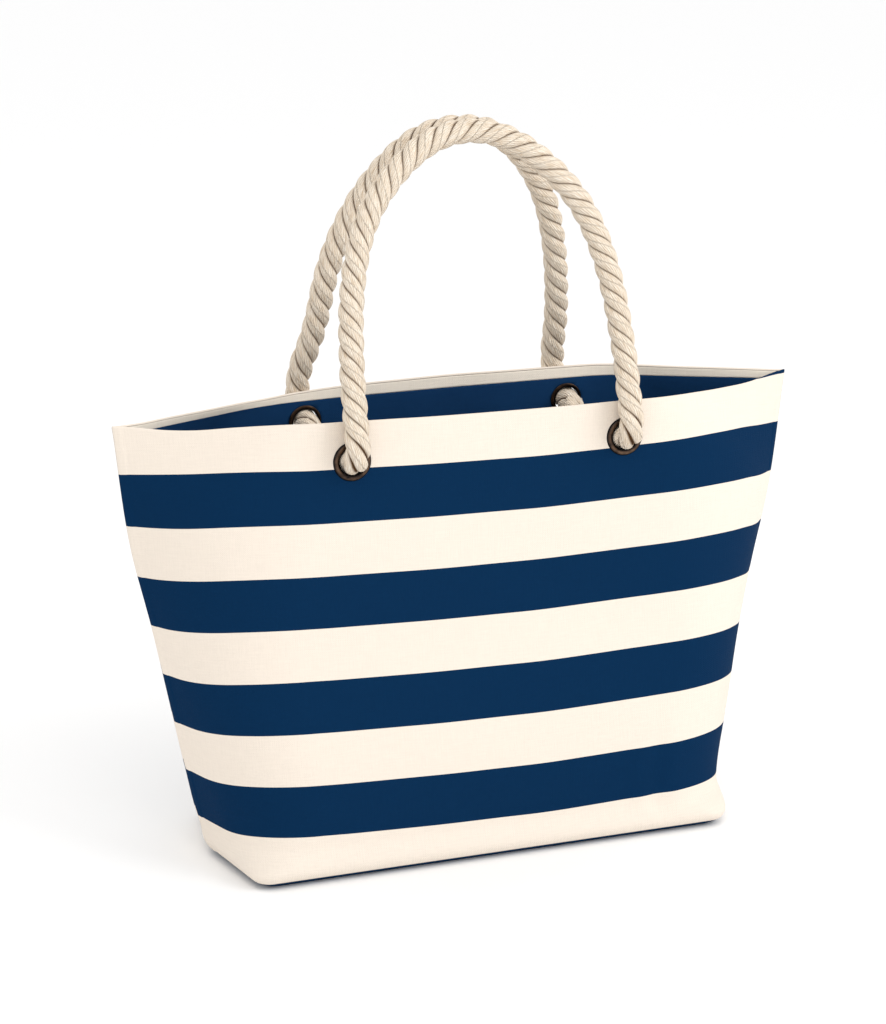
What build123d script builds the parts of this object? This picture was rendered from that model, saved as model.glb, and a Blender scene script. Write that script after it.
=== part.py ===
from build123d import *
from math import asin, cos, hypot, pi, radians, sin, tan
import os

os.makedirs("parts", exist_ok=True)

# A striped canvas beach bag with two rope handles. Millimetres, +Z up, front towards -Y.
# Origin: middle of the flat base, on the surface that the bag stands on.

# Cloth
canvas_thickness = 1.4       # outer canvas with its stiffening
lining_thickness = 0.8       # lining, and the facing strip above it
ply_gap = 0.3                # between the canvas and what is sewn inside it
bag_height = 364
base_edge_height = 5         # the base panel turns up this far, to the seam round the base
facing_depth = 8             # facing strip that shows inside the rim
lining_top_gap = 0.2         # between the lining's top edge and the facing

# Bag outline at a few heights: height, half width at the side seams, x and y of the corner
# between the front and a side, and the radius of that corner. Boxed and square at the base,
# a flat lens with a long straight front at the rim.
outline_levels = [
    (0, 210, 190, 79, 7),
    (base_edge_height, 216, 199, 86, 12),
    (30, 225.5, 199.5, 85, 60),
    (80, 237, 208, 82.5, 86),
    (140, 249, 215, 74.5, 94),
    (200, 261, 226, 68, 112),
    (260, 274.5, 222, 66.5, 150),
    (bag_height, 287, 152, 60.5, 125),
]
rim_level = outline_levels[-1]
shoulder_level = outline_levels[-2]

# Eyelets, two in the front wall and two in the back
eyelet_x = 114
front_eyelet_height = 335.5
back_eyelet_height = 339     # the back wall was pierced a little higher
eyelet_hole_radius = 10.5
eyelet_flange_radius = 15.5
eyelet_flange_height = 2.0
eyelet_wall = 0.8
washer_radius = 13.5
washer_thickness = 1.2
washer_gap = 0.2             # between the lining and the washer, where the wall starts to curve
cloth_hole_clearance = 0.3
washer_clearance = 0.05      # round the barrel
stack_thickness = canvas_thickness + ply_gap + lining_thickness

# Three-strand rope
rope_radius = 10
neck_outside = 5.5           # straight rope that stands out of the eyelet
neck_inside = 14.0           # straight rope that runs into the knot
bend_distance = 18.5         # from the canvas to the point where the handle turns up
apex_height = 577.5          # rope centreline at the top of both handles
apex_gap = 0.6               # between the two ropes where they lean together

# Knot behind each eyelet, in the eyelet's own frame
knot_depth = 29.5            # knot axis, behind the face of the canvas
knot_radius = 24
knot_top = 12                # above the eyelet's centre
knot_bottom = -48
tail_end = -64

# The walls lean in by this angle between the shoulder and the rim
wall_rise = rim_level[0] - shoulder_level[0]
wall_setback = shoulder_level[3] - rim_level[3]
wall_lean = asin(wall_setback / hypot(wall_rise, wall_setback))

# Every cloth of a wall is cut at the same heights, so that they lie evenly on each other
facing_bottom = bag_height - facing_depth
lining_top = facing_bottom - lining_top_gap
shoulder_middle = (shoulder_level[0] + bag_height) / 2
slice_heights = [level[0] for level in outline_levels[:-1]] + [shoulder_middle, lining_top, facing_bottom]

sides = {"front": -1, "back": 1}
ends = {"left": -eyelet_x, "right": eyelet_x}
hole_radius = eyelet_hole_radius + eyelet_wall + cloth_hole_clearance


def level_at(z):
    """Half width, corner x, corner y and corner radius at height z, between the levels."""
    for low, high in zip(outline_levels, outline_levels[1:]):
        if z <= high[0]:
            share = (z - low[0]) / (high[0] - low[0])
            return [a + (b - a) * share for a, b in zip(low[1:], high[1:])]


def half_outline(z, inset):
    """The front half of the bag's outline at height z, moved in by inset: points and radius."""
    seam_x, corner_x, corner_y, radius = level_at(z)
    side_length = hypot(seam_x - corner_x, corner_y)
    inset_seam = seam_x - inset * side_length / corner_y
    inset_y = corner_y - inset
    inset_corner = inset_seam + (corner_x - seam_x) * inset_y / corner_y
    points = [(-inset_seam, 0), (-inset_corner, -inset_y), (inset_corner, -inset_y), (inset_seam, 0)]
    return points, radius - inset


def wall_slice(z, inset, thickness):
    """A flat slice of one cloth layer of the front wall, from side seam to side seam."""
    outer_points, outer_radius = half_outline(z, inset)
    inner_points, inner_radius = half_outline(z, inset + thickness)
    with BuildSketch(Plane.XY.offset(z)) as slice_face:
        with BuildLine():
            outer = FilletPolyline(*outer_points, radius=outer_radius)
            inner = FilletPolyline(*inner_points, radius=inner_radius)
            Line(outer @ 0, inner @ 0)
            Line(outer @ 1, inner @ 1)
        make_face()
    return slice_face.sketch


def base_slice(z, inset):
    """The front half of the bag's floor at height z."""
    points, radius = half_outline(z, inset)
    with BuildSketch(Plane.XY.offset(z)) as floor_face:
        with BuildLine():
            edge = FilletPolyline(*points, radius=radius)
            Line(edge @ 0, edge @ 1)
        make_face()
    return floor_face.sketch


def heights_between(bottom, top):
    """The heights of a cloth's slices: its two ends, and every shared height between them."""
    return [bottom] + [height for height in slice_heights if bottom < height < top] + [top]


def eyelet_centre(side):
    """Distance from the middle plane and height of the eyelets on one side."""
    height = front_eyelet_height if side < 0 else back_eyelet_height
    return rim_level[3] + wall_setback * (rim_level[0] - height) / wall_rise, height


def eyelet_plane(x, side):
    """Plane on the face of the canvas at an eyelet: Z points out of the bag. side is -1 in front."""
    y, height = eyelet_centre(side)
    outward = (0, side * cos(wall_lean), sin(wall_lean))
    return Plane(origin=(x, side * y, height), x_dir=(-side, 0, 0), z_dir=outward)


def handle_plane(side):
    """Plane of a handle's arch, which turns about a line just outside its two eyelets and leans in
    until the ropes meet: origin on that line, Y up the lean. Also the arch's height in the plane."""
    y, height = eyelet_centre(side)
    hinge_y = y + bend_distance * cos(wall_lean)
    hinge_z = height + bend_distance * sin(wall_lean)
    rise = apex_height - hinge_z
    reach = hinge_y - rope_radius - apex_gap / 2
    normal = (0, -rise, -side * reach)
    return Plane(origin=(0, side * hinge_y, hinge_z), x_dir=(1, 0, 0), z_dir=normal), hypot(rise, reach)


# Wall cloths: the outer canvas from the base seam to the rim, the lining just inside it up to the
# facing, and the facing strip that finishes the rim. Two eyelet holes go through canvas and lining.
lining_inset = canvas_thickness + ply_gap
for cloth_name, inset, thickness, bottom, top, pierced in (
    ("panel", 0, canvas_thickness, base_edge_height, bag_height, True),
    ("lining", lining_inset, lining_thickness, base_edge_height, lining_top, True),
    ("facing", lining_inset, lining_thickness, facing_bottom, bag_height, False),
):
    with BuildPart() as plain_cloth:
        for height in heights_between(bottom, top):
            add(wall_slice(height, inset, thickness))
        loft(ruled=True)
    with BuildPart() as plain_back_cloth:
        mirror(plain_cloth.part, about=Plane.XZ)
    for side_name, side, uncut in (("front", -1, plain_cloth), ("back", 1, plain_back_cloth)):
        with BuildPart() as cloth:
            add(uncut.part)
            for x in ends.values() if pierced else ():
                with BuildSketch(eyelet_plane(x, side)):
                    Circle(hole_radius)
                extrude(amount=stack_thickness * 2, both=True, mode=Mode.SUBTRACT)
        cloth.part.label = f"{side_name}_{cloth_name}"
        export_step(cloth.part, f"parts/{cloth.part.label}.step")

# Base: a flat floor with a low turned-up edge, once in canvas and once in lining
for base_name, inset, thickness in (
    ("base_panel", 0, canvas_thickness),
    ("base_lining", lining_inset, lining_thickness),
):
    with BuildPart() as base:
        add(wall_slice(inset, inset, thickness))
        add(wall_slice(base_edge_height, inset, thickness))
        loft(ruled=True)
        add(base_slice(inset, inset + thickness / 2))
        extrude(amount=thickness)
        mirror(about=Plane.XZ)
    base.part.label = base_name
    export_step(base.part, f"parts/{base_name}.step")

# Eyelet: domed flange outside, barrel through the cloth, lip rolled over the washer inside
lip_radius = eyelet_hole_radius + eyelet_wall * 2.5
barrel_end = -(stack_thickness + washer_gap + washer_thickness)
with BuildPart() as eyelet_blank:
    with BuildSketch(Plane.XZ):
        with BuildLine():
            Polyline(
                (eyelet_hole_radius, eyelet_flange_height * 0.6),
                (eyelet_hole_radius, barrel_end - eyelet_wall),
                (lip_radius, barrel_end - eyelet_wall),
                (lip_radius, barrel_end),
                (eyelet_hole_radius + eyelet_wall, barrel_end),
                (eyelet_hole_radius + eyelet_wall, 0),
                (eyelet_flange_radius, 0),
            )
            ThreePointArc(
                (eyelet_flange_radius, 0),
                ((eyelet_hole_radius + eyelet_flange_radius) / 2 + 0.4, eyelet_flange_height),
                (eyelet_hole_radius, eyelet_flange_height * 0.6),
            )
        make_face()
    revolve(axis=Axis.Z)

# Washer: the flat ring inside that the lip clamps against the lining
with BuildPart() as washer_blank:
    with BuildSketch(Plane.XY.offset(barrel_end)):
        Circle(washer_radius)
        Circle(eyelet_hole_radius + eyelet_wall + washer_clearance, mode=Mode.SUBTRACT)
    extrude(amount=washer_thickness)
    fillet(washer_blank.edges().group_by(Axis.Z)[0].sort_by(SortBy.RADIUS)[-1], washer_thickness / 2)

# Neck: the straight rope through the eyelet
with BuildPart() as neck_blank:
    with BuildSketch(Plane.XY.offset(-neck_inside)):
        Circle(rope_radius)
    extrude(amount=neck_inside + neck_outside)

# Knot: a rounded lump wider than the eyelet, with the rope's short tail below it
with BuildPart() as knot_blank:
    with BuildSketch(Plane.XY.offset(-knot_depth)):
        with BuildLine():
            Polyline(
                (0, tail_end), (0, knot_top), (rope_radius, knot_top), (knot_radius, knot_top - 17),
                (knot_radius, knot_bottom + 16), (rope_radius + 4, knot_bottom + 4),
                (rope_radius, knot_bottom), (rope_radius, tail_end), (0, tail_end),
            )
        knot_half = make_face()
        outer_corners = [vertex for vertex in knot_half.vertices() if vertex.X > rope_radius - 1]
        fillet(outer_corners, 2.4)
    revolve(axis=Axis(origin=(0, 0, -knot_depth), direction=(0, 1, 0)))
    add(neck_blank.part, mode=Mode.SUBTRACT)

fittings = {"eyelet": eyelet_blank, "washer": washer_blank, "rope_neck": neck_blank, "knot": knot_blank}
for side_name, side in sides.items():
    for end_name, x in ends.items():
        for fitting_name, blank in fittings.items():
            with BuildPart() as fitting:
                with Locations(eyelet_plane(x, side)):
                    add(blank.part)
            fitting.part.label = f"{side_name}_{end_name}_{fitting_name}"
            export_step(fitting.part, f"parts/{fitting.part.label}.step")

# Handle: an arch of rope from eyelet to eyelet. Points are across the bag and up the lean, from
# the line that the handle turns about, for the right half. The apex run closes the arch. The
# back handle stands narrower than the front one.
arch_halves = {
    "front": [(eyelet_x, 0), (113, 75), (107.5, 136), (91, 189), (57, 229)],
    "back": [(eyelet_x, 0), (106, 70), (98, 132), (80, 186), (50, 228)],
}
apex_half_run = 20

for side_name, side in sides.items():
    arch_plane, arch_length = handle_plane(side)
    right_half = arch_halves[side_name] + [(apex_half_run, arch_length)]
    route = right_half + [(-x, y) for x, y in reversed(right_half)]
    runs = [Vector(*b) - Vector(*a) for a, b in zip(route, route[1:])]
    turns = [before.get_angle(after) for before, after in zip(runs, runs[1:])]
    radii = [
        0.45 * min(before.length, after.length) / tan(radians(turn / 2))
        for before, after, turn in zip(runs, runs[1:], turns)
    ]
    with BuildPart() as handle:
        with BuildLine(arch_plane):
            arch = FilletPolyline(*route, radius=radii)
        with BuildSketch(Plane(origin=arch @ 0, z_dir=arch % 0)):
            Circle(rope_radius)
        sweep(path=arch)
        tube_volume = handle.part.volume
        with Locations(arch @ 0, arch @ 1):
            Sphere(rope_radius)
    handle.part.label = f"{side_name}_handle"
    export_step(handle.part, f"parts/{side_name}_handle.step")
    print(side_name, "handle radii", [round(radius) for radius in radii], "length", round(arch.length, 1))
    print("tube volume over section times length", tube_volume / (pi * rope_radius**2 * arch.length))
    print("turns about y, z", arch_plane.origin.Y, arch_plane.origin.Z)
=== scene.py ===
import bmesh
import bpy
import numpy as np
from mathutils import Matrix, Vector


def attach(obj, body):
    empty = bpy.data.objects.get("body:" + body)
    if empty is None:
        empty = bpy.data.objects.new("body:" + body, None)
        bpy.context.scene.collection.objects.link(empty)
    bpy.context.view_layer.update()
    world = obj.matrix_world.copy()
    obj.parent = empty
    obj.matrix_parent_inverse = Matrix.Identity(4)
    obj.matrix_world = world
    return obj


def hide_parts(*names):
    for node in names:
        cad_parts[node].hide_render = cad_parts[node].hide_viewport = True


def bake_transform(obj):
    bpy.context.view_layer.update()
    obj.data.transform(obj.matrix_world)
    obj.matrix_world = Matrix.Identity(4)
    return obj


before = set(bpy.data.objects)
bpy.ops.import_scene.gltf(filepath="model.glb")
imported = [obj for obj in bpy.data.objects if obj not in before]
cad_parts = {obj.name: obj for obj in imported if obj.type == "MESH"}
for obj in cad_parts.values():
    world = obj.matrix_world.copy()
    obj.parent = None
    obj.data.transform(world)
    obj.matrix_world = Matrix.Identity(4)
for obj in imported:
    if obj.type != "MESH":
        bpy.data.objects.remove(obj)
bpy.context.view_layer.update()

# A striped canvas beach bag with two rope handles. Metres, +Z up, front towards -Y.
# Shapes are worked out in millimetres and turned to metres where they become a mesh.
mm = 0.001


camera = {
    "azimuth": -20.1,              # degrees, minus is round to the left of the front
    "elevation": 16.0,
    "distance": 2.168,
    "target": (-0.017, 0.0, 0.269),
    "lens": 94.4,
}
azimuth, elevation = np.radians([camera["azimuth"], camera["elevation"]])
back = Vector((np.sin(azimuth) * np.cos(elevation), -np.cos(azimuth) * np.cos(elevation), np.sin(elevation)))
cameraData = bpy.data.cameras.new("camera")
cameraData.lens = camera["lens"]
cameraObject = bpy.data.objects.new("camera", cameraData)
cameraObject.location = Vector(camera["target"]) + back * camera["distance"]
cameraObject.rotation_euler = back.to_track_quat("Z", "Y").to_euler()
bpy.context.scene.collection.objects.link(cameraObject)
bpy.context.scene.camera = cameraObject
print("camera placed")


def makePiece(name, points, faces, uv=None, attributes=None, closeUp=False):
    # points in millimetres and faces as index rows; one uv pair for each point
    mesh = bpy.data.meshes.new(name)
    mesh.from_pydata((np.asarray(points) * mm).tolist(), [], [list(face) for face in faces])
    mesh.validate()
    if uv is not None:
        corner = np.empty(len(mesh.loops), int)
        mesh.loops.foreach_get("vertex_index", corner)
        layer = mesh.uv_layers.new(name="UVMap")
        layer.data.foreach_set("uv", np.asarray(uv, np.float32)[corner].ravel())
    for key, values in (attributes or {}).items():
        mesh.attributes.new(key, "FLOAT", "POINT").data.foreach_set("value", np.asarray(values, np.float32))
    if closeUp:                    # seams and poles: points that fall together become one
        turned = bmesh.new()
        turned.from_mesh(mesh)
        bmesh.ops.remove_doubles(turned, verts=turned.verts, dist=1e-6)
        bmesh.ops.recalc_face_normals(turned, faces=turned.faces)
        turned.to_mesh(mesh)
        turned.free()
    mesh.polygons.foreach_set("use_smooth", np.ones(len(mesh.polygons), bool))
    piece = bpy.data.objects.new(name, mesh)
    bpy.context.scene.collection.objects.link(piece)
    return piece


def easeStep(value, low, high):
    # 0 below low, 1 above high, and 3tt - 2ttt between
    t = np.clip((value - low) / (high - low), 0, 1)
    return t * t * (3 - 2 * t)


def throughLevels(value, stations, levels):
    # a cubic through the levels, whose slope at each one comes from its two neighbours
    stations, levels = np.asarray(stations, float), np.asarray(levels, float)
    slope = np.gradient(levels, stations, axis=0)
    i = np.clip(np.searchsorted(stations, value, side="right") - 1, 0, len(stations) - 2)
    step = stations[i + 1] - stations[i]
    t = np.clip((value - stations[i]) / step, 0, 1)
    if levels.ndim > 1:
        step, t = step[..., None], t[..., None]
    return ((1 + 2 * t) * (1 - t) ** 2 * levels[i] + t * (1 - t) ** 2 * step * slope[i]
            + t * t * (3 - 2 * t) * levels[i + 1] + t * t * (t - 1) * step * slope[i + 1])


def roundedEdge(distance, radius):
    # how far a rounded edge has drawn back, by the distance from its end: a quarter circle
    t = 1 - np.clip(distance / radius, 0, 1)
    return radius * (1 - np.sqrt(1 - t * t))


def toLinear(hexColour):
    value = np.array([int(hexColour[i:i + 2], 16) for i in (1, 3, 5)]) / 255
    linear = np.where(value <= 0.04045, value / 12.92, ((value + 0.055) / 1.055) ** 2.4)
    return (*linear.tolist(), 1.0)


def newMaterial(name):
    material = bpy.data.materials.new(name)
    material.use_nodes = True
    tree = material.node_tree
    return material, tree, tree.nodes["Principled BSDF"]


def addNode(tree, kind, inputs=None, **settings):
    # one node, its settings, and its inputs, each a value or another node's socket
    node = tree.nodes.new("ShaderNode" + kind)
    for key, value in settings.items():
        setattr(node, key, value)
    for key, value in (inputs or {}).items():
        if isinstance(value, bpy.types.NodeSocket):
            tree.links.new(value, node.inputs[key])
        else:
            node.inputs[key].default_value = value
    return node


def setShader(tree, shader, **inputs):
    for key, value in inputs.items():
        key = {"baseColor": "Base Color", "roughness": "Roughness", "normal": "Normal",
               "metallic": "Metallic", "specular": "Specular IOR Level"}[key]
        if isinstance(value, bpy.types.NodeSocket):
            tree.links.new(value, shader.inputs[key])
        else:
            shader.inputs[key].default_value = value


bag = {
    # height; half width at the side seams; x and y of the corner; radius of the corner
    "levels": np.array([
        (0, 210, 190, 79, 7), (5, 216, 199, 86, 12), (30, 225.5, 199.5, 85, 60), (80, 237, 208, 82.5, 86),
        (140, 249, 215, 74.5, 94), (200, 261, 226, 68, 112), (260, 274.5, 222, 66.5, 150),
        (364, 287, 152, 60.5, 125)], float),
    "rimHeight": 364.0,
    "baseSeamHeight": 5.0,
    "canvasThickness": 1.4,
    "plyGap": 0.3,
    "liningThickness": 0.8,
    "facingDepth": 8.0,
    "eyeletX": 114.0,
    "eyeletHeight": {-1: 335.5, 1: 339.0},
    "clothHole": 12.0,             # radius; its edge is covered by the eyelet's flange
    "backStripeRise": 5.0,
    "firstStripe": 36.0,           # the stripe at the rim is narrower than the others
    "stripe": 42.0,
}
stackThickness = bag["canvasThickness"] + bag["plyGap"] + bag["liningThickness"]
shoulder, rim = bag["levels"][-2], bag["levels"][-1]
lean = np.arctan2(shoulder[3] - rim[3], rim[0] - shoulder[0])   # of the wall, between shoulder and rim

# How far the stripes sit below a line level with the rim, from the left seam to the right
stripeDrop = np.array([(-1, 3), (-0.9, 1.5), (-0.8, 0), (-0.7, -1.8), (-0.55, -3.3), (-0.45, -2.7), (-0.3, -1.3),
                       (-0.17, 0), (0, 1), (0.15, 1.8), (0.3, 1.2), (0.45, 0.3), (0.55, 0.2), (0.65, 1.2),
                       (0.75, 2.8), (0.82, 4), (0.9, 6.5), (1, 9)])

# How far the rim rises or dips along its length, from the left seam to the right: cloth is never straight
rimWave = {
    "front": [(-1, -0.5), (-0.95, -1.0), (-0.86, -2.8), (-0.79, -2.6), (-0.68, 0.4), (-0.56, 3.0), (-0.43, 3.0),
              (-0.3, 2.1), (-0.16, 1.0), (0.0, 0.4), (0.25, 0.0), (0.39, 0.3), (0.55, -0.5), (0.73, -3.5),
              (0.86, -4.2), (0.94, -2.0), (1, -0.8)],
    "back": [(-1, -0.5), (-0.9, -2.0), (-0.84, -2.0), (-0.6, -2.8), (-0.5, -2.7), (-0.39, 0.0), (-0.26, 2.4),
             (-0.11, 3.5), (0.04, 4.2), (0.18, 3.8), (0.36, 3.4), (0.48, 3.0), (0.6, 1.9), (0.7, 1.0), (0.82, 0.4),
             (1, -0.8)],
}


def outlineAt(height):
    # the four measures of the outline at a height
    level = throughLevels(height, bag["levels"][:, 0], bag["levels"][:, 1:])
    return [level[..., i] for i in range(4)]


def halfLength(height):
    # half the outline's length on one side: straight front, arc at the corner, straight side
    seamX, cornerX, cornerY, radius = outlineAt(height)
    turn = np.arctan2(cornerY, seamX - cornerX)
    cut = radius * np.tan(turn / 2)
    return cornerX - cut + radius * turn + np.hypot(seamX - cornerX, cornerY) - cut


def plainWall(u, height):
    # u runs from -1 at the left seam to 1 at the right one, by length along the outline
    seamX, cornerX, cornerY, radius = outlineAt(height)
    turn = np.arctan2(cornerY, seamX - cornerX)
    flat = cornerX - radius * np.tan(turn / 2)
    along = np.abs(u) * halfLength(height)
    angle = np.clip((along - flat) / radius, 0, turn)
    rest = np.maximum(along - flat - radius * turn, 0)
    x = np.sign(u) * (np.minimum(along, flat) + radius * np.sin(angle) + rest * np.cos(turn))
    y = cornerY - radius * (1 - np.cos(angle)) - rest * np.sin(turn)
    return x, y


def bump(u, height, centreU, centreHeight, widthU, widthHeight):
    return np.exp(-((u - centreU) / widthU) ** 2 - ((height - centreHeight) / widthHeight) ** 2)


def eyeletY(side):
    # from the middle plane to the canvas at an eyelet, on the straight line from shoulder to rim
    return rim[3] + np.tan(lean) * (rim[0] - bag["eyeletHeight"][side])


def nearEyelet(u, height, side, reach):
    # 1 away from the eyelets, 0 on them
    x, _ = plainWall(u, height)
    away = np.hypot(np.abs(x) - bag["eyeletX"], height - bag["eyeletHeight"][side])
    return easeStep(away, reach * 0.75, reach * 1.6)


def slackAt(u, height, side):
    # how far the cloth stands out of its smooth shape: a few soft swells and creases
    length = halfLength(height)
    fromSeam = (1 - np.abs(u)) * length
    fromBase = height - bag["baseSeamHeight"]
    if side < 0:
        slack = (1.6 * bump(u, height, -0.25, 200, 0.35, 110) - 1.2 * bump(u, height, 0.3, 250, 0.25, 80)
                 + 0.9 * bump(u, height, 0.45, 40, 0.03, 45) - 0.8 * bump(u, height, 0.5, 45, 0.025, 50)
                 + 0.8 * bump(u, height, 0.56, 40, 0.03, 40) - 0.9 * bump(u, height, -0.55, 90, 0.12, 90))
    else:
        slack = (1.5 * bump(u, height, 0.2, 180, 0.3, 120) - 1.3 * bump(u, height, -0.35, 230, 0.25, 90)
                 + 0.8 * bump(u, height, -0.5, 45, 0.03, 50) - 0.7 * bump(u, height, -0.44, 50, 0.03, 50)
                 + 0.7 * bump(u, height, 0.5, 60, 0.05, 60))
    wander = 0.35 * np.sin(height / 31 + 5 * u) * np.sin(7.3 * u + height / 57 + side)
    calm = easeStep(fromSeam, 6, 40) * easeStep(fromBase, 0, 25) * nearEyelet(u, height, side, 26)
    calm = calm * easeStep(bag["rimHeight"] - height, 0, 14)
    ridge = 0.55 * easeStep(-fromSeam, -8.5, -6.2) - 0.75 * easeStep(-fromSeam, -1.8, 0)
    return (slack + wander) * calm + ridge


def wallPoint(u, height, side):
    # a point of the outer face: the smooth wall, the rim's wave, and the way out of it
    x, y = plainWall(u, height)
    wave = np.array(rimWave["front" if side < 0 else "back"])
    lift = throughLevels(u, wave[:, 0], wave[:, 1]) * easeStep(height, bag["rimHeight"] - 13, bag["rimHeight"])
    return np.stack([x, side * y, height + lift], -1)


def wallFace(u, height, side):
    # the outer face and its outward direction, from small steps along it and up it
    stepU, stepHeight = 2e-4, 0.05
    u = np.clip(u, -1, 1)
    lowU, highU = np.clip(u - stepU, -1, 1), np.clip(u + stepU, -1, 1)
    lowH = np.clip(height - stepHeight, 0, bag["rimHeight"])
    highH = np.clip(height + stepHeight, 0, bag["rimHeight"])

    def direction(function):
        along = function(highU, height, side) - function(lowU, height, side)
        up = function(u, highH, side) - function(u, lowH, side)
        out = np.cross(along, up) * -side
        return out / np.linalg.norm(out, axis=-1, keepdims=True)

    smoothOut = direction(wallPoint)

    def slackWall(u, height, side):
        return wallPoint(u, height, side) + slackAt(u, height, side)[..., None] * smoothOut

    return slackWall(u, height, side), direction(slackWall)


def lengthTable():
    # distance down the wall from the rim, at even steps of u and height
    uSteps, heightSteps = np.linspace(-1, 1, 61), np.linspace(bag["rimHeight"], 0, 183)
    u, height = np.meshgrid(uSteps, heightSteps)
    x, y = plainWall(u, height)
    gaps = np.linalg.norm(np.diff(np.stack([x, y, height], -1), axis=0), axis=-1)
    return np.vstack([np.zeros(61), np.cumsum(gaps, axis=0)])


downTable = lengthTable()


def clothUv(u, height):
    # the cloth's own flat measure in metres: across from the middle, and down from the rim
    a = np.clip((u + 1) * 30, 0, 59.9999)
    b = np.clip((bag["rimHeight"] - height) / 2, 0, 181.9999)
    i, j = a.astype(int), b.astype(int)
    a, b = a - i, b - j
    down = ((1 - b) * ((1 - a) * downTable[j, i] + a * downTable[j, i + 1])
            + b * ((1 - a) * downTable[j + 1, i] + a * downTable[j + 1, i + 1]))
    return np.stack([u * halfLength(height), down], -1) * mm


def wallGrid(side, columns, rows, top, bottom, topSteps, bottomSteps, holeRadius):
    # even steps of u with finer ones beside the seams, and rows with finer ones at both edges;
    # squares inside a hole are dropped, and the points round it are drawn on to its circle
    u = np.linspace(-1, 1, columns)
    u = np.unique(np.concatenate([u, 1 - np.array([1, 2.4, 4, 6, 7.2, 8.4]) / 300,
                                  -1 + np.array([1, 2.4, 4, 6, 7.2, 8.4]) / 300]))
    heights = np.concatenate([top - np.array(topSteps),
                              np.linspace(top - topSteps[-1], bottom + bottomSteps[-1], rows)[1:-1],
                              bottom + np.array(bottomSteps)[::-1]])
    u, height = np.meshgrid(u, heights)
    keep = np.ones((u.shape[0] - 1, u.shape[1] - 1), bool)
    if holeRadius:
        for x in (-bag["eyeletX"], bag["eyeletX"]):
            across = u * halfLength(height) - x
            up = (height - bag["eyeletHeight"][side]) / np.cos(lean)
            away = np.hypot(across, up)
            middle = (away[:-1, :-1] + away[1:, 1:] + away[:-1, 1:] + away[1:, :-1]) / 4
            inside = middle < holeRadius
            keep &= ~inside
            touched = np.pad(inside, 1)
            touched = touched[:-1, :-1].astype(int) + touched[1:, :-1] + touched[:-1, 1:] + touched[1:, 1:]
            ring = (touched > 0) & (touched < 4)
            grow = np.where(ring, holeRadius / np.maximum(away, 1e-6), 1)
            u = np.where(ring, (x + across * grow) / halfLength(height), u)
            height = np.where(ring, bag["eyeletHeight"][side] + up * grow * np.cos(lean), height)
    return u, height, keep


def closedShell(outer, inner, keep):
    # two grids of points, joined by a strip round every edge of the squares that are kept
    rows, columns = outer.shape[:2]
    index = np.arange(rows * columns).reshape(rows, columns)
    squares = np.stack([index[:-1, :-1], index[:-1, 1:], index[1:, 1:], index[1:, :-1]], -1)[keep]
    second = rows * columns
    padded = np.pad(keep, 1)
    across = np.argwhere(padded[:-1, 1:-1] != padded[1:, 1:-1])
    down = np.argwhere(padded[1:-1, :-1] != padded[1:-1, 1:])
    start = np.concatenate([index[across[:, 0], across[:, 1]], index[down[:, 0], down[:, 1]]])
    end = np.concatenate([index[across[:, 0], across[:, 1] + 1], index[down[:, 0] + 1, down[:, 1]]])
    strips = np.stack([start, end, end + second, start + second], -1)
    faces = np.concatenate([squares, squares[:, ::-1] + second, strips])
    used, faces = np.unique(faces, return_inverse=True)
    points = np.concatenate([outer.reshape(-1, 3), inner.reshape(-1, 3)])[used]
    return points, faces.reshape(-1, 4), used


def clothPiece(name, u, height, keep, side, outerDepth, innerDepth):
    # one layer of the wall, between two depths below the outer face
    face, out = wallFace(u, height, side)
    outer = face - outerDepth[..., None] * out
    inner = face - innerDepth[..., None] * out
    for layer in (outer, inner):   # nothing crosses the plane of the side seams
        layer[..., 1] = side * np.maximum(side * layer[..., 1], 0)
    points, faces, used = closedShell(outer, inner, keep)
    drop = throughLevels(u, stripeDrop[:, 0], stripeDrop[:, 1]) if side < 0 else -bag["backStripeRise"]
    uv = (clothUv(u, height) - np.stack([0 * u, drop + 0 * u], -1) * mm).reshape(-1, 2)
    return makePiece(name, points, faces, np.concatenate([uv, uv])[used], closeUp=True)


rope = {
    "radius": 10.0,
    "pitch": 48.0,                 # one turn of a strand, left-handed
    "strandOffset": 5.15,          # strand's middle from the rope's middle
    "strandDepth": 4.85,           # half a strand's thickness: the strands press each other flat
    "strandWidth": 5.5,
    "bendDistance": 18.5,          # canvas to the line that the handle turns about
    "apexHeight": 577.5,
    "apexGap": 0.6,
    "inside": [(-26, -12), (-20, 0)],     # outward and up from the middle of the eyelet
    # the arch in its own plane, up from the line that it turns about, for its left and right
    # legs; the back handle stands narrower, and its legs are pushed a little to the left
    "arch": {-1: ([(114, 0), (113.6, 40), (113, 75), (107.5, 136), (91, 189), (57, 229)],) * 2,
             1: ([(114, 0), (117, 38), (105, 75), (99, 136), (79.5, 189), (50, 229)],
                 [(114, 0), (104.5, 38), (105, 75), (96, 136), (79.5, 189), (51, 229)])},
    "archTop": 20.0,               # half the gap between the two points at the top
}


def eyeletPoint(x, side, outward, up):
    # a point by its distance out of the wall and up it, from the middle of an eyelet
    return (x, side * (eyeletY(side) + outward * np.cos(lean) - up * np.sin(lean)),
            bag["eyeletHeight"][side] + outward * np.sin(lean) + up * np.cos(lean))


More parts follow.
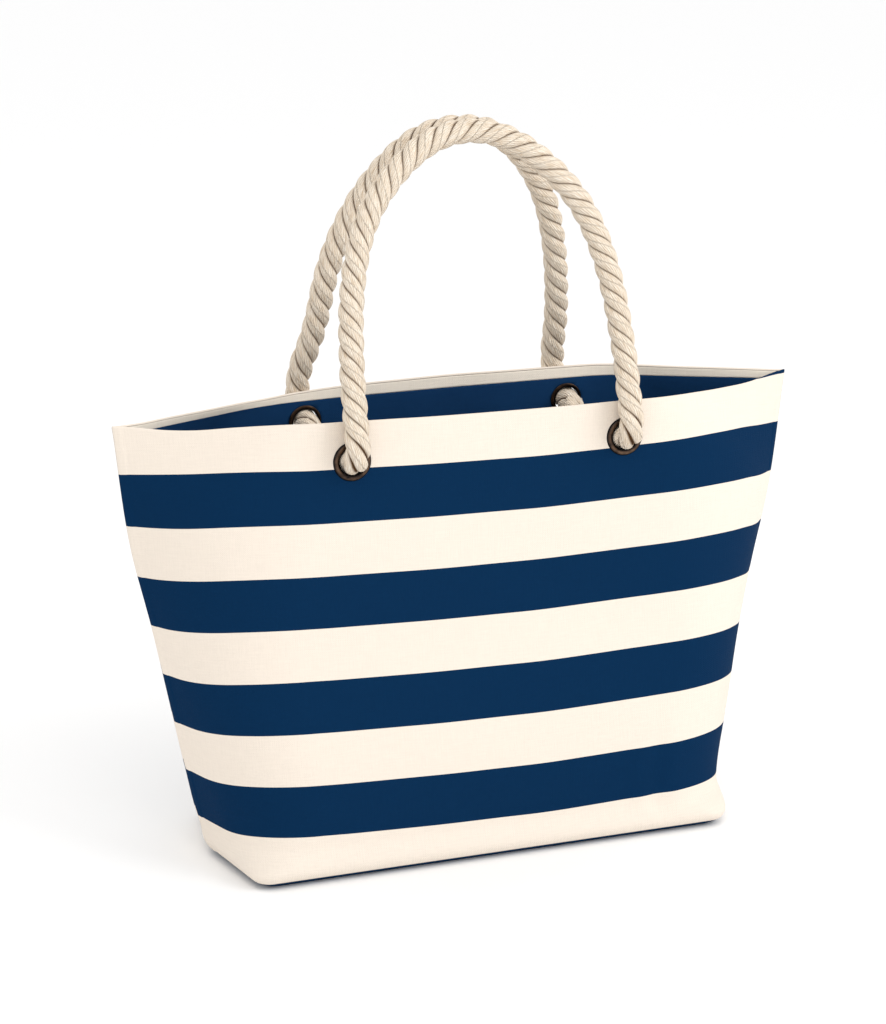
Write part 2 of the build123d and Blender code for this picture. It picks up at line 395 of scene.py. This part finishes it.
def handleRoute(side):
    # out through an eyelet, up the leaning arch, and in through the other eyelet
    _, hingeY, hingeZ = eyeletPoint(0, side, rope["bendDistance"], 0)
    rise = rope["apexHeight"] - hingeZ
    reach = abs(hingeY) - rope["radius"] - rope["apexGap"] / 2
    length = np.hypot(rise, reach)
    legs = []
    for sign, half in zip((-1, 1), rope["arch"][side]):
        leg = [eyeletPoint(sign * bag["eyeletX"], side, outward, up) for outward, up in rope["inside"]]
        leg += [(sign * x, side * (abs(hingeY) - up * reach / length), hingeZ + up * rise / length)
                for x, up in half + [(rope["archTop"], length)]]
        legs.append(leg)
    return legs[0] + legs[1][::-1]


def routeLine(name, points, count):
    # the smooth line of a route, at even steps along it
    curve = bpy.data.curves.new(name, "CURVE")
    curve.dimensions = "3D"
    curve.resolution_u = 32
    spline = curve.splines.new("NURBS")
    spline.points.add(len(points) - 1)
    spline.points.foreach_set("co", np.c_[np.array(points) * mm, np.ones(len(points))].ravel())
    spline.order_u = 3
    spline.use_endpoint_u = True
    carrier = bpy.data.objects.new(name, curve)
    bpy.context.scene.collection.objects.link(carrier)
    mesh = bpy.data.meshes.new_from_object(carrier)
    line = np.empty(len(mesh.vertices) * 3)
    mesh.vertices.foreach_get("co", line)
    line = line.reshape(-1, 3) / mm
    bpy.data.objects.remove(carrier)
    bpy.data.meshes.remove(mesh)
    travelled = np.r_[0, np.cumsum(np.linalg.norm(np.diff(line, axis=0), axis=1))]
    steps = np.linspace(0, travelled[-1], count)
    return np.stack([np.interp(steps, travelled, line[:, i]) for i in range(3)], -1), steps


def carriedFrames(line):
    # each side direction is the last one less its part along the new tangent, so nothing twists
    tangent = np.gradient(line, axis=0)
    tangent /= np.linalg.norm(tangent, axis=1, keepdims=True)
    first = np.empty_like(tangent)
    vector = np.cross(tangent[0], (1.0, 0.2, 0.1))
    for i, direction in enumerate(tangent):
        vector = vector - direction * (vector @ direction)
        vector = vector / np.linalg.norm(vector)
        first[i] = vector
    return tangent, first, np.cross(tangent, first)


def ropeSurface(line, steps, around, turnAt):
    # three strands: each middle goes round the line once in a pitch, and each skin is an ellipse
    # square to that helix; the depth of a point below the rope's outside goes with it
    tangent, first, second = carriedFrames(line)
    allPoints, allFaces, allUv, allDepth, start = [], [], [], [], 0
    rows = len(line)
    for strand in range(3):
        angle = turnAt + strand * 2 * np.pi / 3 - 2 * np.pi * steps / rope["pitch"]
        radial = np.cos(angle)[:, None] * first + np.sin(angle)[:, None] * second
        sideways = -np.sin(angle)[:, None] * first + np.cos(angle)[:, None] * second
        slope = -2 * np.pi * rope["strandOffset"] / rope["pitch"]
        heading = tangent + slope * sideways
        heading /= np.linalg.norm(heading, axis=1, keepdims=True)
        across = np.cross(heading, radial)
        middle = line + rope["strandOffset"] * radial
        turn = np.linspace(0, 2 * np.pi, around, endpoint=False)
        ring = (rope["strandDepth"] * np.cos(turn)[None, :, None] * radial[:, None, :]
                + rope["strandWidth"] * np.sin(turn)[None, :, None] * across[:, None, :])
        points = middle[:, None, :] + ring
        depth = rope["radius"] - np.linalg.norm(points - line[:, None, :], axis=-1)
        index = start + np.arange(rows * around).reshape(rows, around)
        beside = np.roll(index, -1, axis=1)
        skin = np.stack([index[:-1], beside[:-1], beside[1:], index[1:]], -1).reshape(-1, 4)
        allFaces += skin.tolist() + [index[0][::-1].tolist(), index[-1].tolist()]
        uv = np.stack(np.broadcast_arrays(turn[None, :] / (2 * np.pi) + strand, steps[:, None] * mm), -1)
        allPoints.append(points.reshape(-1, 3))
        allUv.append(uv.reshape(-1, 2))
        allDepth.append(depth.ravel())
        start += rows * around
    return np.concatenate(allPoints), allFaces, np.concatenate(allUv), np.concatenate(allDepth)


def makeRope(name, points, count, around, turnAt):
    line, steps = routeLine(name + "Route", points, count)
    surface, faces, uv, depth = ropeSurface(line, steps, around, turnAt)
    piece = makePiece(name, surface, faces, uv, {"grooveDepth": depth})
    return piece, line, steps[-1]


ropes = {}
for name, side in (("Front", -1), ("Back", 1)):
    ropes[name] = makeRope("rope" + name, handleRoute(side), 700, 34, 0.6 if side < 0 else 2.1)
    print("rope", name, "length", round(ropes[name][2], 1))


knot = {
    # an overhand knot drawn tight: x, outward and up from the middle of the eyelet
    "route": [(0, -13, 0), (0.5, -16, -3.6), (1.7, -21.6, -12.6), (-0.4, -29.5, -19.7), (-1, -38.1, -23.3),
              (3.3, -44.4, -31.8), (8.4, -42.5, -43.3), (11.5, -35.5, -48.7), (10.6, -24.2, -50.2),
              (3.2, -16, -46.9), (-4.7, -14.3, -37.8), (-10.4, -19.5, -28.2), (-14.6, -22.8, -19.7),
              (-12.9, -28.8, -9.2), (-4.2, -34.9, -4.7), (4.6, -37.6, -6.1), (13.1, -37.1, -13.9),
              (14.6, -33.2, -25.9), (8, -28.7, -34.2), (-1.8, -30.3, -39.9), (-4.4, -31, -48.3),
              (-2.2, -30.2, -58.8)],
}
knots = {}
for wall, side in (("Front", -1), ("Back", 1)):
    for end, sign in (("Left", -1), ("Right", 1)):
        points = [eyeletPoint(sign * bag["eyeletX"] + dx * sign, side, out, up) for dx, out, up in knot["route"]]
        knots[wall + end] = makeRope("knot" + wall + end, points, 420, 30, 1.0)[0]
print("knots made")


rimSteps = [0, 0.06, 0.25, 0.55, 0.9, 1.25, 1.6, 2.2, 4]
baseSteps = [0, 0.05, 0.2, 0.45, 0.8, 1.6, 3]
canvases, linings, facings = {}, {}, {}
for name, side in (("Front", -1), ("Back", 1)):
    u, height, keep = wallGrid(side, 251, 150, bag["rimHeight"], bag["baseSeamHeight"], rimSteps, baseSteps,
                               bag["clothHole"])
    fromRim, fromBase = bag["rimHeight"] - height, height - bag["baseSeamHeight"]
    outerDepth = roundedEdge(fromRim, 1.25) + roundedEdge(fromBase, 0.7)
    roll = stackThickness - roundedEdge(fromRim, 1.25)                # the canvas rolls over the rim
    innerDepth = np.where(fromRim < 1.3, roll, bag["canvasThickness"] - roundedEdge(fromBase, 0.7))
    canvases[name] = clothPiece("canvas" + name, u, height, keep, side, outerDepth, innerDepth)

    top = bag["rimHeight"] - bag["facingDepth"] - 0.2
    u, height, keep = wallGrid(side, 171, 110, top, 4.2, [0, 0.1, 0.4, 1, 2.5], [0, 0.1, 0.4, 1, 2.5],
                               bag["clothHole"])
    edge = roundedEdge(top - height, 0.4) + roundedEdge(height - 4.2, 0.4)
    lift = nearEyelet(u, height, side, 30) * easeStep(top - height, 2, 40) * easeStep(height, 4, 40)
    lift = lift * easeStep((1 - np.abs(u)) * 280, 3, 30)
    folds = 0.9 + 0.9 * np.sin(19 * u + 2.1 * np.sin(height / 70 + side)) * np.sin(height / 83 + 1.3 + 6 * u)
    outer = bag["canvasThickness"] + bag["plyGap"] + edge + lift * folds * 0.9
    linings[name] = clothPiece("lining" + name, u, height, keep, side, outer,
                               outer + bag["liningThickness"] - 2 * edge)

    top, bottom = bag["rimHeight"] - 1.6, bag["rimHeight"] - bag["facingDepth"]
    u, height, keep = wallGrid(side, 231, 8, top, bottom, [0, 0.1, 0.4, 1], [0, 0.1, 0.4, 1], 0)
    edge = roundedEdge(top - height, 0.4) + roundedEdge(height - bottom, 0.4)
    outer = bag["canvasThickness"] + bag["plyGap"] + edge
    facings[name] = clothPiece("facing" + name, u, height, keep, side, outer,
                               outer + bag["liningThickness"] - 2 * edge)
print("walls made")


def floorPiece(name, inset, floorHeight, topHeight, thickness):
    # rows go down the turned-up edge, round the bottom, and in to the middle of the floor;
    # the inner face is the same, moved in and up by the thickness
    u = np.linspace(-1, 1, 161)
    rows = np.array([0, 0.06, 0.25, 0.55, 0.9])
    heights = np.concatenate([topHeight - rows, np.linspace(topHeight - 1.4, floorHeight + 0.8, 4)])
    shrink = np.concatenate([np.zeros(len(heights)), [0.004, 0.012, 0.03], np.linspace(0.06, 1, 22)])
    heights = np.concatenate([heights, [floorHeight + 0.3, floorHeight + 0.06], np.full(23, floorHeight)])
    loops = []
    for side in (-1, 1):
        uRow, height = np.meshgrid(u if side < 0 else u[::-1], heights)
        x, y = plainWall(uRow, np.maximum(height, 0))
        loops.append(np.stack([x, side * y, height], -1))
    outer = np.concatenate([loops[0], loops[1][:, 1:]], axis=1)
    middle = np.zeros_like(outer)
    middle[..., 2] = outer[..., 2]
    flatOut = outer - middle
    reach = np.linalg.norm(flatOut, axis=-1, keepdims=True)
    flatOut = flatOut / np.maximum(reach, 1e-6)
    draw = roundedEdge(topHeight - heights, 0.7)[:, None, None]
    factor = (1 - shrink)[:, None, None]
    inwards = thickness * easeStep(1 - shrink, 0, 0.5)[:, None, None]
    inner = middle + (outer - middle) * factor - flatOut * (inset + inwards - draw)
    outer = middle + (outer - middle) * factor - flatOut * (inset * factor + draw)
    inner[..., 2] = np.maximum(inner[..., 2], floorHeight + thickness)
    inner[-22:, :, :2] = outer[-22:, :, :2]
    keep = np.ones((outer.shape[0] - 1, outer.shape[1] - 1), bool)
    points, faces, used = closedShell(outer, inner, keep)
    return makePiece(name, points, faces, points[:, :2] * mm, closeUp=True)


canvasBase = floorPiece("canvasBase", 0.0, 0.0, bag["baseSeamHeight"] - 0.05, bag["canvasThickness"])
liningBase = floorPiece("liningBase", 2.4, 1.8, 4.1, bag["liningThickness"])
print("base made")


# Cotton canvas, plain weave: matt, with a fine even grain and a few thick yarns
def canvasMaterial(name, cream, navy, striped):
    material, tree, shader = newMaterial(name)
    place = addNode(tree, "UVMap", uv_map="UVMap").outputs["UV"]
    parts = addNode(tree, "SeparateXYZ", {"Vector": place})
    across, down = parts.outputs["X"], parts.outputs["Y"]
    thread = 0.0016                # two threads of 0.8 mm
    waves = [addNode(tree, "Math", {0: addNode(tree, "Math", {0: way, 1: 2 * np.pi / thread},
             operation="MULTIPLY").outputs[0]}, operation="SINE").outputs[0] for way in (across, down)]
    weave = addNode(tree, "Math", {0: waves[0], 1: waves[1]}, operation="MULTIPLY").outputs[0]
    slubs = []
    for scale in ((60, 900, 1), (900, 60, 1)):                        # long along each thread, narrow across it
        stretched = addNode(tree, "Mapping", {"Vector": place, "Scale": scale}).outputs["Vector"]
        slubs.append(addNode(tree, "TexNoise", {"Vector": stretched, "Scale": 1.0, "Detail": 1.0},
                             noise_dimensions="2D").outputs[0])
    slub = addNode(tree, "Math", {0: slubs[0], 1: slubs[1]}, operation="ADD").outputs[0]
    if striped:
        band = addNode(tree, "Math", {0: down, 1: bag["firstStripe"] * mm}, operation="SUBTRACT").outputs[0]
        band = addNode(tree, "Math", {0: band, 1: bag["stripe"] * mm}, operation="DIVIDE").outputs[0]
        band = addNode(tree, "Math", {0: band}, operation="FLOOR").outputs[0]
        band = addNode(tree, "Math", {0: band, 1: 2.0}, operation="FLOORED_MODULO").outputs[0]
        colour = addNode(tree, "Mix", {0: band, 6: toLinear(navy), 7: toLinear(cream)}, data_type="RGBA").outputs[2]
    else:
        plain = addNode(tree, "RGB")
        plain.outputs[0].default_value = toLinear(navy or cream)
        colour = plain.outputs[0]
    shade = addNode(tree, "MapRange", {"Value": slub, "From Min": 0.6, "From Max": 1.4, "To Min": 0.975,
                                       "To Max": 1.02}).outputs[0]
    colour = addNode(tree, "Mix", {0: 1.0, 6: colour, 7: shade}, data_type="RGBA", blend_type="MULTIPLY").outputs[2]
    height = addNode(tree, "Math", {0: weave, 1: 0.5, 2: slub}, operation="MULTIPLY_ADD").outputs[0]
    relief = addNode(tree, "Bump", {"Height": height, "Strength": 0.35, "Distance": 0.0004}).outputs[0]
    setShader(tree, shader, baseColor=colour, roughness=0.88, normal=relief, specular=0.05)
    return material


stripedCanvas = canvasMaterial("stripedCottonCanvas", "#e8ddd0", "#05294a", True)
navyCanvas = canvasMaterial("navyCottonCanvas", None, "#05294a", False)
# the facing's cream is set lighter than the stripes' cream: partly its own cream, partly painted light for the lit
# inner band at the rim
creamTape = canvasMaterial("creamCottonTape", "#fdf4e6", None, False)
navyLining = canvasMaterial("navyCottonLining", None, "#143860", False)


# Cotton rope, laid from three strands: matt and hairy, each strand a bundle of yarns that run
# nearly along the rope, with painted shade, dark brown, down in the grooves between the strands and a fainter
# painted shade in the hollows between the yarns
def ropeMaterial():
    material, tree, shader = newMaterial("laidCottonRope")
    place = addNode(tree, "UVMap", uv_map="UVMap").outputs["UV"]
    parts = addNode(tree, "SeparateXYZ", {"Vector": place})
    around, along = parts.outputs["X"], parts.outputs["Y"]
    yarns, yarnPitch = 20.0, 0.042        # 1.6 mm yarns, twisted against the strand
    wander = addNode(tree, "TexNoise", {"Vector": addNode(tree, "TexCoord").outputs["Object"], "Scale": 220.0,
                                        "Detail": 1.0}).outputs[0]
    turned = addNode(tree, "Math", {0: along, 1: -1 / yarnPitch, 2: around}, operation="MULTIPLY_ADD").outputs[0]
    yarn = addNode(tree, "Math", {0: turned, 1: yarns, 2: wander}, operation="MULTIPLY_ADD").outputs[0]
    wave = addNode(tree, "Math", {0: addNode(tree, "Math", {0: yarn, 1: 2 * np.pi},
                   operation="MULTIPLY").outputs[0]}, operation="SINE").outputs[0]
    streakPlace = addNode(tree, "CombineXYZ", {"X": addNode(tree, "Math", {0: turned, 1: 60.0},
                          operation="MULTIPLY").outputs[0], "Y": addNode(tree, "Math", {0: along, 1: 160.0},
                          operation="MULTIPLY").outputs[0]}).outputs[0]
    streak = addNode(tree, "TexNoise", {"Vector": streakPlace, "Scale": 1.0, "Detail": 3.0}).outputs[0]
    # painted shade: the deeper a point lies in a groove between the strands, the more its colour turns to dark
    # brown
    depth = addNode(tree, "Attribute", attribute_name="grooveDepth").outputs["Fac"]
    shade = addNode(tree, "MapRange", {"Value": depth, "From Min": 0.9, "From Max": 2.3, "To Min": 0.0,
                                       "To Max": 1.0}, interpolation_type="SMOOTHSTEP").outputs[0]
    light = addNode(tree, "Mix", {0: addNode(tree, "MapRange", {"Value": streak, "From Min": 0.36,
                    "From Max": 0.62}).outputs[0], 6: toLinear("#dfcab0"), 7: toLinear("#fdf2e2")},
                    data_type="RGBA").outputs[2]
    # painted shade in the hollows between the yarns: darker where the yarn relief is low
    yarnHollowShade = addNode(tree, "MapRange", {"Value": wave, "From Min": -1.0, "From Max": 0.0, "To Min": 0.86,
                                      "To Max": 1.0}).outputs[0]
    colour = addNode(tree, "Mix", {0: 1.0, 6: light, 7: yarnHollowShade}, data_type="RGBA", blend_type="MULTIPLY").outputs[2]
    colour = addNode(tree, "Mix", {0: shade, 6: colour, 7: toLinear("#5f4329")}, data_type="RGBA").outputs[2]
    height = addNode(tree, "Math", {0: streak, 1: 2.2, 2: wave}, operation="MULTIPLY_ADD").outputs[0]
    relief = addNode(tree, "Bump", {"Height": height, "Strength": 0.7, "Distance": 0.0005}).outputs[0]
    setShader(tree, shader, baseColor=colour, roughness=0.92, normal=relief, specular=0.1)
    return material


laidRope = ropeMaterial()


# Brass with an antique bronze finish: nearly black, with a painted highlight, brown, on the crown of the ring
def bronzeMaterial(name, eyeletHeight):
    material, tree, shader = newMaterial(name)
    place = addNode(tree, "TexCoord").outputs["Object"]
    parts = addNode(tree, "SeparateXYZ", {"Vector": place})
    sideways = addNode(tree, "Math", {0: addNode(tree, "Math", {0: parts.outputs["X"]},
                       operation="ABSOLUTE").outputs[0], 1: bag["eyeletX"] * mm}, operation="SUBTRACT").outputs[0]
    upward = addNode(tree, "Math", {0: parts.outputs["Z"], 1: eyeletHeight * mm}, operation="SUBTRACT").outputs[0]
    away = addNode(tree, "VectorMath", {0: addNode(tree, "CombineXYZ", {"X": sideways, "Y": upward}).outputs[0]},
                   operation="LENGTH").outputs["Value"]
    # painted highlight: a brown band round the crown of each eyelet ring, broken up by noise, standing in for the
    # light the ring reflects
    crown = addNode(tree, "MapRange", {"Value": addNode(tree, "Math", {0: addNode(tree, "Math", {0: away,
                    1: 0.0131}, operation="SUBTRACT").outputs[0]}, operation="ABSOLUTE").outputs[0],
                    "From Min": 0.0003, "From Max": 0.0021, "To Min": 1.0, "To Max": 0.0},
                    interpolation_type="SMOOTHSTEP").outputs[0]
    highlightAndRoughnessNoise = addNode(tree, "TexNoise", {"Vector": place, "Scale": 140.0, "Detail": 4.0}).outputs[0]
    paintedCrownHighlight = addNode(tree, "Math", {0: crown, 1: addNode(tree, "MapRange", {"Value": highlightAndRoughnessNoise, "From Min": 0.3,
                  "From Max": 0.65}).outputs[0]}, operation="MULTIPLY").outputs[0]
    colour = addNode(tree, "Mix", {0: paintedCrownHighlight, 6: toLinear("#1b1a1c"), 7: toLinear("#6a5444")},
                     data_type="RGBA").outputs[2]
    rough = addNode(tree, "MapRange", {"Value": highlightAndRoughnessNoise, "To Min": 0.22, "To Max": 0.4}).outputs[0]
    setShader(tree, shader, baseColor=colour, roughness=rough, metallic=1.0)
    return material


bronze = {side: bronzeMaterial("antiqueBronze" + name, bag["eyeletHeight"][side])
          for side, name in ((-1, "Front"), (1, "Back"))}
print("materials made")


def dress(piece, material):
    piece.data.materials.clear()
    piece.data.materials.append(material)


for name, lower, side in (("Front", "front", -1), ("Back", "back", 1)):
    for piece, material, node, slot in ((canvases[name], stripedCanvas, "_panel", "striped_canvas"),
                                        (linings[name], navyLining, "_lining", "lining"),
                                        (facings[name], creamTape, "_facing", "facing")):
        dress(piece, material)
        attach(piece, "bag")
        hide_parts(lower + node)
    for end in ("Left", "Right"):
        stem = lower + "_" + end.lower()
        dress(knots[name + end], laidRope)
        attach(knots[name + end], "bag")
        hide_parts(stem + "_knot")
        for part in ("_eyelet", "_washer"):
            dress(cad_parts[stem + part], bronze[side])
    handle, line, length = ropes[name]
    dress(handle, laidRope)
    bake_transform(handle)
    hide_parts(lower + "_handle", lower + "_left_rope_neck", lower + "_right_rope_neck")
for piece, material, node, slot in ((canvasBase, navyCanvas, "base_panel", "base_canvas"),
                                    (liningBase, navyLining, "base_lining", "lining")):
    dress(piece, material)
    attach(piece, "bag")
    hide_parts(node)


print("pieces joined to the frame")


def areaLight(name, place, target, size, power, colour=(1, 1, 1)):
    lamp = bpy.data.lights.new(name, "AREA")
    lamp.shape = "RECTANGLE"
    lamp.size, lamp.size_y = size
    lamp.energy = power
    lamp.color = colour
    holder = bpy.data.objects.new(name, lamp)
    holder.location = place
    holder.rotation_euler = (Vector(place) - Vector(target)).to_track_quat("Z", "Y").to_euler()
    bpy.context.scene.collection.objects.link(holder)


areaLight("softboxRight", (1.7, -1.6, 1.6), (0, 0, 0.2), (1.4, 1.4), 22)
areaLight("softboxFill", (-0.5, -1.5, 2.2), (0, 0, 0.3), (1.2, 1.2), 7, (1, 0.96, 0.9))
floorMesh = bpy.data.meshes.new("floor")
floorMesh.from_pydata([(-30, -30, 0), (30, -30, 0), (30, 60, 0), (-30, 60, 0)], [], [(0, 1, 2, 3)])
floor = bpy.data.objects.new("floor", floorMesh)
bpy.context.scene.collection.objects.link(floor)
floorMaterial, floorTree, floorShader = newMaterial("palePaperFloor")
setShader(floorTree, floorShader, baseColor=toLinear("#fbfbfb"), roughness=0.9, specular=0.1)
floorMesh.materials.append(floorMaterial)

world = bpy.data.worlds.new("studio")
world.use_nodes = True
world.node_tree.nodes["Background"].inputs["Color"].default_value = (1, 1, 1, 1)
world.node_tree.nodes["Background"].inputs["Strength"].default_value = 1.02
bpy.context.scene.world = world
bpy.context.scene.view_settings.view_transform = "Standard"
print("lit")
